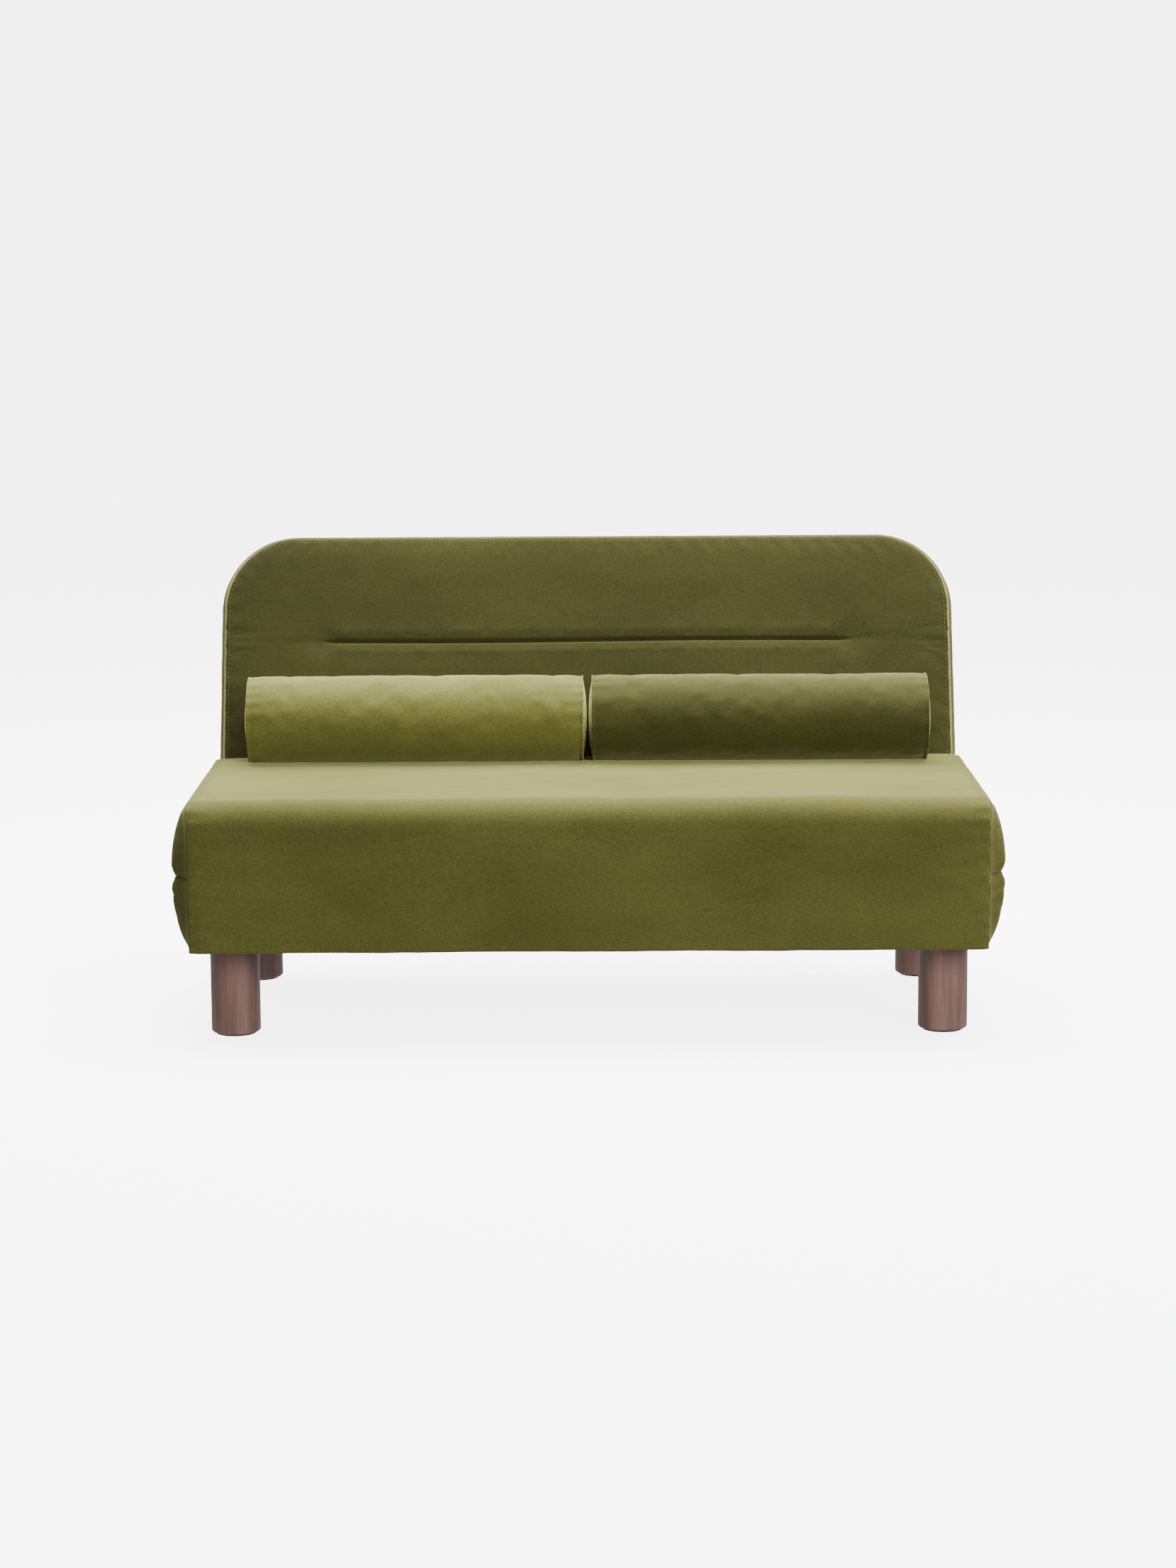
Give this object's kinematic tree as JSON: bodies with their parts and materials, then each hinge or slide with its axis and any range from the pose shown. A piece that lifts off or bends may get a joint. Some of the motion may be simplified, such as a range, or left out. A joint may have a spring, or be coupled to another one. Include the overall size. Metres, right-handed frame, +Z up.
{
  "type": "futon sofa bed",
  "caption": "Armless two-seat futon sofa bed in olive velvet with round wooden legs, a tilting back, a fold-over seat and loose bolsters.",
  "frame": {"origin": "on the floor under the middle of the sofa's bounding box", "axes": "+X to the right seen from the front, +Y to the rear, +Z up"},
  "size_m": [1.5312, 0.8596, 0.8891],
  "materials": {
    "velvet": "cotton velvet, olive green",
    "walnut": "walnut stain, satin",
    "plywood": "raw birch",
    "steel": "black powder coat",
    "zinc": "zinc plated",
    "rubber": "matt"
  },
  "bodies": {
    "back": {"back_board": "plywood", "back_front_pad": "velvet", "back_leg_bracket_left": "zinc", "back_leg_bracket_right": "zinc", "back_rear_pad": "velvet", "recline_arm_left": "steel", "recline_arm_right": "steel"},
    "back_leg": {"back_leg_crossbar": "steel", "back_leg_foot_left": "rubber", "back_leg_foot_right": "rubber", "back_leg_strut_left": "steel", "back_leg_strut_right": "steel"},
    "root": {"base_centre_rail": "steel", "base_front_rail": "steel", "base_left_rail": "steel", "base_rear_rail": "steel", "base_right_rail": "steel", "leg_front_left": "walnut", "leg_front_right": "walnut", "leg_glide_front_left": "rubber", "leg_glide_front_right": "rubber", "leg_glide_rear_left": "rubber", "leg_glide_rear_right": "rubber", "leg_plate_front_left": "steel", "leg_plate_front_right": "steel", "leg_plate_rear_left": "steel", "leg_plate_rear_right": "steel", "leg_rear_left": "walnut", "leg_rear_right": "walnut", "lower_pad": "velvet", "recline_cheek_left": "steel", "recline_cheek_right": "steel", "recline_pin_left": "zinc", "recline_pin_right": "zinc", "slat_1": "plywood", "slat_2": "plywood", "slat_3": "plywood", "slat_4": "plywood", "slat_5": "plywood", "slat_6": "plywood", "slat_7": "plywood"},
    "bolster_left_body": {"bolster_left": "velvet"},
    "bolster_right_body": {"bolster_right": "velvet"},
    "flap": {"flap_board": "plywood", "flap_leg_stud_left": "zinc", "flap_leg_stud_right": "zinc", "flap_top_pad": "velvet", "flap_under_pad": "velvet"},
    "flap_leg_left_body": {"flap_leg_foot_left": "rubber", "flap_leg_left": "steel"},
    "flap_leg_right_body": {"flap_leg_foot_right": "rubber", "flap_leg_right": "steel"}
  },
  "joints": [
    {"name": "flap_fold", "type": "hinge", "parent": "root", "child": "flap", "pos_m": [0, -0.43178, 0.3165], "axis": [1, 0, 0], "range_deg": [0, 180]},
    {"name": "flap_leg_left_swing", "type": "hinge", "parent": "flap", "child": "flap_leg_left_body", "pos_m": [-0.7588, 0.11822, 0.425], "axis": [1, 0, 0], "range_deg": [0, 180]},
    {"name": "flap_leg_right_swing", "type": "hinge", "parent": "flap", "child": "flap_leg_right_body", "pos_m": [0.7588, 0.11822, 0.425], "axis": [1, 0, 0], "range_deg": [0, 180]},
    {"name": "back_recline", "type": "hinge", "parent": "root", "child": "back", "pos_m": [0, 0.18523, 0.205], "axis": [-1, 0, 0], "range_deg": [0, 69.3]},
    {"name": "back_leg_swing", "type": "hinge", "parent": "back", "child": "back_leg", "pos_m": [0, 0.39771, 0.70979], "axis": [1, 0, 0], "range_deg": [0, 90]},
    {"name": "bolster_left_slide", "type": "slide", "parent": "flap", "child": "bolster_left_body", "axis": [0, -1, 0], "range_m": [0, 0.25]},
    {"name": "bolster_right_slide", "type": "slide", "parent": "flap", "child": "bolster_right_body", "axis": [0, -1, 0], "range_m": [0, 0.25]}
  ],
  "couplings": [
    {"joint": "flap_leg_left_swing", "follows": "flap_fold", "ratio": 1},
    {"joint": "flap_leg_right_swing", "follows": "flap_fold", "ratio": 1},
    {"joint": "back_leg_swing", "follows": "back_recline", "ratio": 1.2987}
  ]
}
